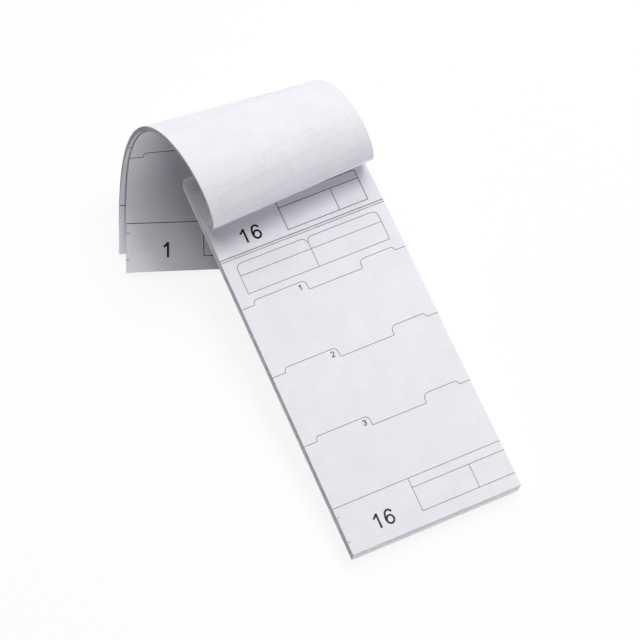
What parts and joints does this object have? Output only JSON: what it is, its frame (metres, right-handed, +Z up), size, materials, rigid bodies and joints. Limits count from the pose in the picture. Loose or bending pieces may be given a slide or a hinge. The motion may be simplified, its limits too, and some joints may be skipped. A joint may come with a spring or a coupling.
{
  "type": "service ticket pad",
  "caption": "Glued pad of perforated paper tickets on a backing board, used tickets turned over the bound end in an open loop that props the pad like an easel.",
  "frame": {"origin": "middle of the backing board's foot edge, where the pad stands on the table", "axes": "+Z up, +Y from the foot to the bound end, +X to the right as the tickets are read"},
  "size_m": [0.0933, 0.1694, 0.0568],
  "materials": {
    "paper": "uncoated white bond paper",
    "board": "plain pale chipboard",
    "glue": "dried white padding glue"
  },
  "bodies": {
    "pad": {"backing_board": "board", "spine_glue": "glue", "ticket_50": "paper", "ticket_49": "paper", "ticket_48": "paper", "ticket_47": "paper", "ticket_46": "paper", "ticket_45": "paper", "ticket_44": "paper", "ticket_43": "paper", "ticket_42": "paper", "ticket_41": "paper", "ticket_40": "paper", "ticket_39": "paper", "ticket_38": "paper", "ticket_37": "paper", "ticket_36": "paper", "ticket_35": "paper", "ticket_34": "paper", "ticket_33": "paper", "ticket_32": "paper", "ticket_31": "paper", "ticket_30": "paper", "ticket_29": "paper", "ticket_28": "paper", "ticket_27": "paper", "ticket_26": "paper", "ticket_25": "paper", "ticket_24": "paper", "ticket_23": "paper", "ticket_22": "paper", "ticket_21": "paper", "ticket_20": "paper", "ticket_19": "paper", "ticket_18": "paper", "ticket_17_stub": "paper", "ticket_16_stub": "paper", "ticket_15_stub": "paper", "turned_stubs": "paper", "ticket_01_stub": "paper"},
    "slip_17": {"ticket_17_slip": "paper"},
    "slip_16": {"ticket_16_slip": "paper"},
    "turned_slips": {"ticket_15_slip": "paper", "ticket_14_slip": "paper", "ticket_13_slip": "paper", "ticket_12_slip": "paper", "ticket_11_slip": "paper", "ticket_10_slip": "paper", "ticket_09_slip": "paper", "ticket_08_slip": "paper", "ticket_07_slip": "paper", "ticket_06_slip": "paper", "ticket_05_slip": "paper", "ticket_04_slip": "paper", "ticket_03_slip": "paper", "ticket_02_slip": "paper", "ticket_01_slip": "paper"}
  },
  "joints": [
    {"name": "turned_perforation", "type": "hinge", "parent": "pad", "child": "turned_slips", "pos_m": [0.00057, 0.12219, 0.03579], "axis": [0.9983, 0.0574, 0.0136], "range_deg": [0, 45], "stiffness_Nm_per_rad": 0.05, "springref_deg": -17.19},
    {"name": "slip_17_perforation", "type": "hinge", "parent": "pad", "child": "slip_17", "pos_m": [0, 0.11346, 0.02171], "axis": [-1, 0, 0], "range_deg": [0, 35]},
    {"name": "slip_16_perforation", "type": "hinge", "parent": "slip_17", "child": "slip_16", "pos_m": [0, 0.11344, 0.02183], "axis": [-1, 0, 0], "range_deg": [0, 55]}
  ]
}
